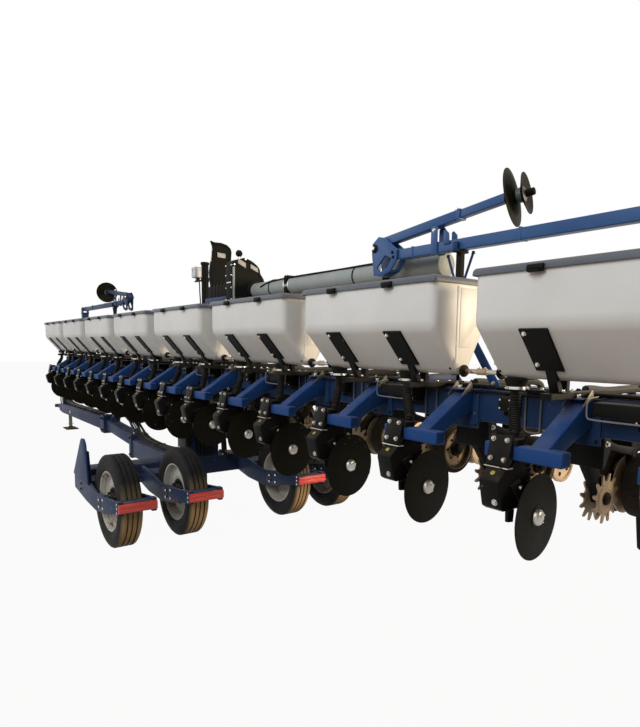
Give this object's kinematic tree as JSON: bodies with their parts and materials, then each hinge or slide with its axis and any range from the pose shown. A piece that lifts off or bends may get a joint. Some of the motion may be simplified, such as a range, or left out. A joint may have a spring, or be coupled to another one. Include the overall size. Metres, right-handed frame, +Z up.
{
  "type": "precision planter",
  "caption": "Towed row planter folded for the road: turned toolbar with row units, front openers, dry product hoppers with lids, fill auger, markers and tongue",
  "frame": {"origin": "ground level, under the middle of the model's box", "axes": "+X forward along the tongue to the hitch, +Y to the machine's left, +Z up"},
  "size_m": [13.95, 2.94, 3.29],
  "materials": {
    "blue_paint": "satin paint",
    "black_paint": "semi-gloss paint",
    "black_plastic": "moulded",
    "gauge_rubber": "matte rubber",
    "bare_steel": "worn steel",
    "hopper_plastic": "moulded",
    "lid_plastic": "moulded",
    "hose_rubber": "ribbed rubber",
    "auger_grey": "painted",
    "lamp_white": "gloss",
    "reflector_red": "reflective",
    "tyre": "road tyre",
    "rim_paint": "gloss paint"
  },
  "bodies": {
    "chassis": {"axle_beam": "blue_paint", "centre_post": "blue_paint", "tongue": "blue_paint", "hitch": "blue_paint", "jack_sleeve": "blue_paint", "jack_leg": "bare_steel", "wheel_forks": "blue_paint", "reflector_bars": "reflector_red"},
    "wheel_1": {"tyre_1": "tyre", "rim_1": "rim_paint"},
    "wheel_2": {"tyre_2": "tyre", "rim_2": "rim_paint"},
    "wheel_3": {"tyre_3": "tyre", "rim_3": "rim_paint"},
    "wheel_4": {"tyre_4": "tyre", "rim_4": "rim_paint"},
    "turning_frame": {"auger_head": "black_paint", "auger_stands": "blue_paint", "auger_tube": "auger_grey", "cleaner_arms": "black_paint", "closing_frames": "black_paint", "closing_wheels": "bare_steel", "coulter_blades": "bare_steel", "drive_shafts": "bare_steel", "gauge_arms": "black_paint", "gauge_wheels": "gauge_rubber", "hopper_outlets": "black_plastic", "hopper_straps": "black_paint", "hoppers": "hopper_plastic", "marker_supports": "blue_paint", "mast": "black_paint", "opener_arms": "blue_paint", "openers": "black_paint", "parallel_links": "black_paint", "product_hoses": "hose_rubber", "row_cleaners": "bare_steel", "row_frames": "black_paint", "row_heads": "black_paint", "seed_discs": "bare_steel", "seed_meters": "black_plastic", "toolbar": "blue_paint", "turret": "blue_paint", "work_lamp": "lamp_white"},
    "lid_1": {"lid_1": "lid_plastic"},
    "lid_2": {"lid_2": "lid_plastic"},
    "lid_3": {"lid_3": "lid_plastic"},
    "lid_4": {"lid_4": "lid_plastic"},
    "lid_5": {"lid_5": "lid_plastic"},
    "lid_6": {"lid_6": "lid_plastic"},
    "lid_7": {"lid_7": "lid_plastic"},
    "lid_8": {"lid_8": "lid_plastic"},
    "marker_inner_front": {"marker_inner_front": "blue_paint"},
    "marker_outer_front": {"marker_outer_front": "blue_paint"},
    "marker_inner_rear": {"marker_inner_rear": "blue_paint"},
    "marker_outer_rear": {"marker_outer_rear": "blue_paint"}
  },
  "joints": [
    {"name": "wheel_1_spin", "type": "hinge", "parent": "chassis", "child": "wheel_1", "pos_m": [-1.905, 1.29, 0.455], "axis": [0, 1, 0], "continuous": true},
    {"name": "wheel_2_spin", "type": "hinge", "parent": "chassis", "child": "wheel_2", "pos_m": [-1.905, 0.626, 0.455], "axis": [0, 1, 0], "continuous": true},
    {"name": "wheel_3_spin", "type": "hinge", "parent": "chassis", "child": "wheel_3", "pos_m": [-1.905, -0.626, 0.455], "axis": [0, 1, 0], "continuous": true},
    {"name": "wheel_4_spin", "type": "hinge", "parent": "chassis", "child": "wheel_4", "pos_m": [-1.905, -1.29, 0.455], "axis": [0, 1, 0], "continuous": true},
    {"name": "turning_frame_swing", "type": "hinge", "parent": "chassis", "child": "turning_frame", "pos_m": [-0.885, 0, 1.4], "axis": [0, 0, 1], "range_deg": [-90, 0]},
    {"name": "lid_1_hinge", "type": "hinge", "parent": "turning_frame", "child": "lid_1", "pos_m": [-6.219, 0.106, 2.349], "axis": [1, 0, 0], "range_deg": [0, 85]},
    {"name": "lid_2_hinge", "type": "hinge", "parent": "turning_frame", "child": "lid_2", "pos_m": [-4.695, 0.106, 2.349], "axis": [1, 0, 0], "range_deg": [0, 85]},
    {"name": "lid_3_hinge", "type": "hinge", "parent": "turning_frame", "child": "lid_3", "pos_m": [-3.171, 0.106, 2.349], "axis": [1, 0, 0], "range_deg": [0, 85]},
    {"name": "lid_4_hinge", "type": "hinge", "parent": "turning_frame", "child": "lid_4", "pos_m": [-1.647, 0.106, 2.349], "axis": [1, 0, 0], "range_deg": [0, 85]},
    {"name": "lid_5_hinge", "type": "hinge", "parent": "turning_frame", "child": "lid_5", "pos_m": [-0.123, 0.106, 2.349], "axis": [1, 0, 0], "range_deg": [0, 85]},
    {"name": "lid_6_hinge", "type": "hinge", "parent": "turning_frame", "child": "lid_6", "pos_m": [1.401, 0.106, 2.349], "axis": [1, 0, 0], "range_deg": [0, 85]},
    {"name": "lid_7_hinge", "type": "hinge", "parent": "turning_frame", "child": "lid_7", "pos_m": [2.925, 0.106, 2.349], "axis": [1, 0, 0], "range_deg": [0, 85]},
    {"name": "lid_8_hinge", "type": "hinge", "parent": "turning_frame", "child": "lid_8", "pos_m": [4.449, 0.106, 2.349], "axis": [1, 0, 0], "range_deg": [0, 85]},
    {"name": "marker_inner_front_hinge", "type": "hinge", "parent": "turning_frame", "child": "marker_inner_front", "pos_m": [5.135, -0.2, 2.692], "axis": [0, 1, 0], "range_deg": [0, 180]},
    {"name": "marker_outer_front_hinge", "type": "hinge", "parent": "marker_inner_front", "child": "marker_outer_front", "pos_m": [2.235, -0.2, 2.768], "axis": [0, -1, 0], "range_deg": [0, 165]},
    {"name": "marker_inner_rear_hinge", "type": "hinge", "parent": "turning_frame", "child": "marker_inner_rear", "pos_m": [-6.905, -0.2, 2.692], "axis": [0, -1, 0], "range_deg": [0, 180]},
    {"name": "marker_outer_rear_hinge", "type": "hinge", "parent": "marker_inner_rear", "child": "marker_outer_rear", "pos_m": [-4.005, -0.2, 2.768], "axis": [0, 1, 0], "range_deg": [0, 165]}
  ]
}
